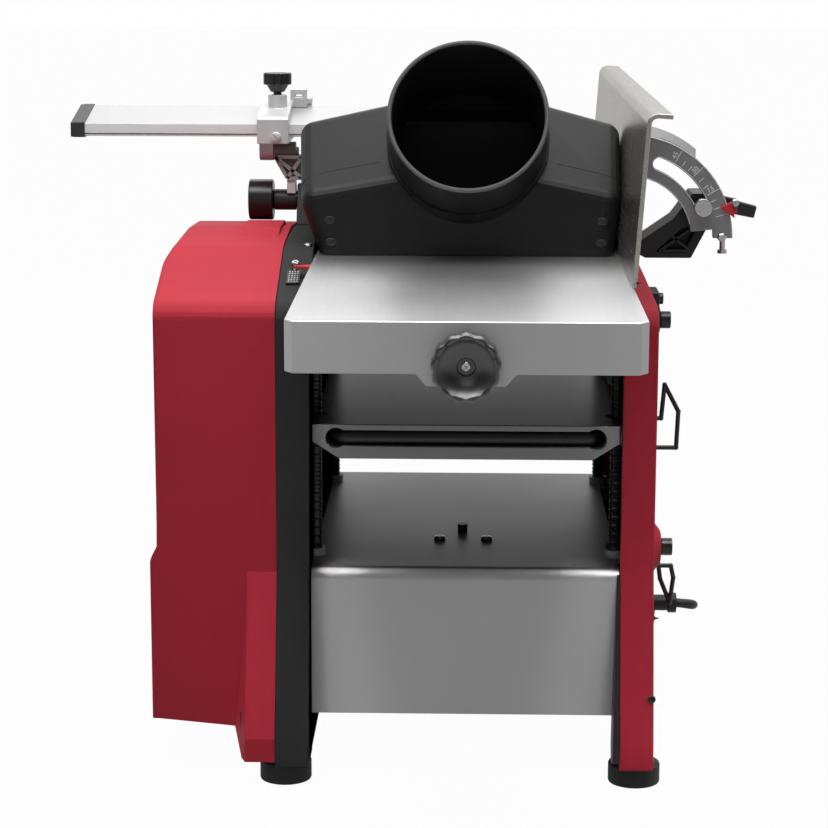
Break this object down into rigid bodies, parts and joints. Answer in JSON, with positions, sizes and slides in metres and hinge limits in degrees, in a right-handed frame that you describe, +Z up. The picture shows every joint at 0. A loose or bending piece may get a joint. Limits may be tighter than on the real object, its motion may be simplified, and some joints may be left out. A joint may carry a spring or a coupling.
{
  "type": "combination planer thicknesser",
  "caption": "Bench planer thicknesser with two planing tables, tilting fence, bridge guard, dust chute, rising thickness table on lifting screws and a side drive cover.",
  "frame": {"origin": "on the floor under the middle of the machine's box, cord left out", "axes": "+Z up, +Y along the tables from infeed to outfeed, +X towards the fence side"},
  "size_m": [0.5026, 0.751, 0.494],
  "materials": {
    "red_shell": "satin crimson moulding",
    "dark_frame": "fine grained",
    "grey_sheet": "satin grey paint",
    "rubber": "matt",
    "black_plastic": "fine grained",
    "end_cap": "fine grained",
    "chute_plastic": "moulded",
    "machined_aluminium": "brushed",
    "bright_aluminium": "anodised",
    "fence_aluminium": "mill finish",
    "grey_casting": "as cast",
    "steel": "ground",
    "black_steel": "blackened",
    "roller_rubber": "matt",
    "white_nylon": "satin",
    "bronze": "turned",
    "red_pointer": "gloss",
    "cord_rubber": "matt"
  },
  "bodies": {
    "frame": {"base_box": "grey_sheet", "left_frame": "dark_frame", "right_frame": "red_shell", "feet": "rubber", "drive_cover": "red_shell", "fasteners": "black_steel", "bearing_heads": "grey_casting", "cutter_bearings": "steel", "outfeed_table": "machined_aluminium", "motor": "grey_casting", "drive_belt": "roller_rubber", "feed_chain": "black_steel", "roller_blocks": "steel", "roller_springs": "steel", "chip_deflector": "steel", "spindle_bushes": "white_nylon", "lift_chain": "black_steel", "depth_scale": "black_plastic", "guard_bracket": "black_plastic", "fence_bracket": "black_plastic", "fence_lock_bolt": "steel", "fence_pointer": "red_pointer", "switch_plate": "black_plastic", "cord_hooks": "black_steel", "cable_gland": "black_plastic", "cord": "cord_rubber", "cord_coil": "cord_rubber", "plug": "cord_rubber", "cord_tie": "cord_rubber"},
    "thickness": {"thickness_table": "machined_aluminium", "table_nuts": "bronze"},
    "support": {"support_bar": "black_steel"},
    "screw_fl": {"spindle_fl": "black_steel"},
    "screw_fr": {"spindle_fr": "black_steel"},
    "screw_bl": {"spindle_bl": "black_steel"},
    "screw_br": {"spindle_br": "black_steel"},
    "height": {"height_knob": "black_plastic"},
    "infeed": {"infeed_table": "machined_aluminium", "depth_pointer": "red_pointer"},
    "depth": {"depth_knob": "black_plastic"},
    "cutter": {"cutter_block": "steel", "cutter_knives": "steel", "cutter_pulley": "steel"},
    "rotor": {"motor_rotor": "steel"},
    "roller_in": {"infeed_roller": "steel"},
    "roller_out": {"outfeed_roller": "roller_rubber"},
    "fingers": {"kickback_fingers": "steel"},
    "chute": {"dust_chute": "chute_plastic"},
    "arm": {"guard_arm": "bright_aluminium"},
    "arm_lock": {"guard_knob": "black_plastic"},
    "clamp": {"guard_clamp": "bright_aluminium"},
    "bar": {"guard_bar": "bright_aluminium", "guard_ends": "end_cap"},
    "star": {"star_knob": "black_plastic"},
    "fence": {"fence_plate": "fence_aluminium", "fence_quadrant": "grey_casting", "fence_screws": "steel"},
    "lever": {"lock_lever": "black_plastic"},
    "reset": {"reset_button": "black_plastic"},
    "switch": {"switch_knob": "black_plastic"}
  },
  "joints": [
    {"name": "table_lift", "type": "slide", "parent": "frame", "child": "thickness", "axis": [0, 0, 1], "range_m": [-0.066, 0.048]},
    {"name": "screw_fl_turn", "type": "hinge", "parent": "frame", "child": "screw_fl", "pos_m": [-0.06334, -0.108, 0.2], "axis": [0, 0, 1], "range_deg": [-5941, 4321]},
    {"name": "screw_fr_turn", "type": "hinge", "parent": "frame", "child": "screw_fr", "pos_m": [0.14266, -0.108, 0.2], "axis": [0, 0, 1], "range_deg": [-5941, 4321]},
    {"name": "screw_bl_turn", "type": "hinge", "parent": "frame", "child": "screw_bl", "pos_m": [-0.06334, 0.122, 0.2], "axis": [0, 0, 1], "range_deg": [-5941, 4321]},
    {"name": "screw_br_turn", "type": "hinge", "parent": "frame", "child": "screw_br", "pos_m": [0.14266, 0.122, 0.2], "axis": [0, 0, 1], "range_deg": [-5941, 4321]},
    {"name": "height_turn", "type": "hinge", "parent": "frame", "child": "height", "pos_m": [0.16665, -0.108, 0.152], "axis": [1, 0, 0], "range_deg": [-5941, 4321]},
    {"name": "support_slide", "type": "slide", "parent": "thickness", "child": "support", "axis": [0, -1, 0], "range_m": [0, 0.09]},
    {"name": "infeed_lift", "type": "slide", "parent": "frame", "child": "infeed", "axis": [0, 0, 1], "range_m": [-0.003, 0]},
    {"name": "depth_turn", "type": "hinge", "parent": "infeed", "child": "depth", "pos_m": [0.03966, -0.3625, 0.322], "axis": [0, 1, 0], "range_deg": [-541, 1]},
    {"name": "cutter_spin", "type": "hinge", "parent": "frame", "child": "cutter", "pos_m": [0.03966, 0.007, 0.322], "axis": [1, 0, 0], "continuous": true},
    {"name": "rotor_spin", "type": "hinge", "parent": "frame", "child": "rotor", "pos_m": [-0.08034, 0.007, 0.094], "axis": [1, 0, 0], "continuous": true},
    {"name": "roller_in_spin", "type": "hinge", "parent": "frame", "child": "roller_in", "pos_m": [0.03966, -0.055, 0.3085], "axis": [1, 0, 0], "continuous": true},
    {"name": "roller_out_spin", "type": "hinge", "parent": "frame", "child": "roller_out", "pos_m": [0.03966, 0.069, 0.3085], "axis": [1, 0, 0], "continuous": true},
    {"name": "fingers_swing", "type": "hinge", "parent": "frame", "child": "fingers", "pos_m": [0.03966, -0.083, 0.3203], "axis": [1, 0, 0], "range_deg": [0, 25]},
    {"name": "chute_lift", "type": "slide", "parent": "frame", "child": "chute", "axis": [0, 0, 1], "range_m": [0, 0.06]},
    {"name": "guard_swing", "type": "hinge", "parent": "frame", "child": "arm", "pos_m": [-0.09534, 0.067, 0.371], "axis": [1, 0, 0], "range_deg": [-50, 0]},
    {"name": "clamp_level", "type": "hinge", "parent": "arm", "child": "clamp", "pos_m": [-0.10035, 0.067, 0.407], "axis": [1, 0, 0], "range_deg": [-0.5, 50.5]},
    {"name": "arm_lock_turn", "type": "hinge", "parent": "frame", "child": "arm_lock", "pos_m": [-0.11034, 0.067, 0.371], "axis": [1, 0, 0], "range_deg": [-180, 180]},
    {"name": "guard_slide", "type": "slide", "parent": "clamp", "child": "bar", "axis": [1, 0, 0], "range_m": [-0.06, 0.08]},
    {"name": "star_turn", "type": "hinge", "parent": "clamp", "child": "star", "pos_m": [-0.10135, 0.072, 0.45], "axis": [0, 0, 1], "range_deg": [-180, 180]},
    {"name": "fence_tilt", "type": "hinge", "parent": "frame", "child": "fence", "pos_m": [0.15465, 0.007, 0.351], "axis": [0, 1, 0], "range_deg": [0, 45]},
    {"name": "lever_turn", "type": "hinge", "parent": "frame", "child": "lever", "pos_m": [0.20735, 0.052, 0.37402], "axis": [0, 1, 0], "range_deg": [-70, 0]},
    {"name": "reset_press", "type": "slide", "parent": "frame", "child": "reset", "axis": [-1, 0, 0], "range_m": [0, 0.003], "stiffness_N_per_m": 250},
    {"name": "switch_turn", "type": "hinge", "parent": "frame", "child": "switch", "pos_m": [0.16665, -0.053, 0.301], "axis": [1, 0, 0], "range_deg": [0, 90]}
  ],
  "couplings": [
    {"joint": "screw_fl_turn", "follows": "table_lift", "rad_per_m": 1570.8},
    {"joint": "screw_fr_turn", "follows": "table_lift", "rad_per_m": 1570.8},
    {"joint": "screw_bl_turn", "follows": "table_lift", "rad_per_m": 1570.8},
    {"joint": "screw_br_turn", "follows": "table_lift", "rad_per_m": 1570.8},
    {"joint": "height_turn", "follows": "table_lift", "rad_per_m": 1570.8},
    {"joint": "depth_turn", "follows": "infeed_lift", "rad_per_m": 3141.6},
    {"joint": "rotor_spin", "follows": "cutter_spin", "ratio": 0.8182},
    {"joint": "roller_in_spin", "follows": "cutter_spin", "ratio": -0.0333},
    {"joint": "roller_out_spin", "follows": "cutter_spin", "ratio": -0.0333},
    {"joint": "clamp_level", "follows": "guard_swing", "ratio": -1}
  ]
}
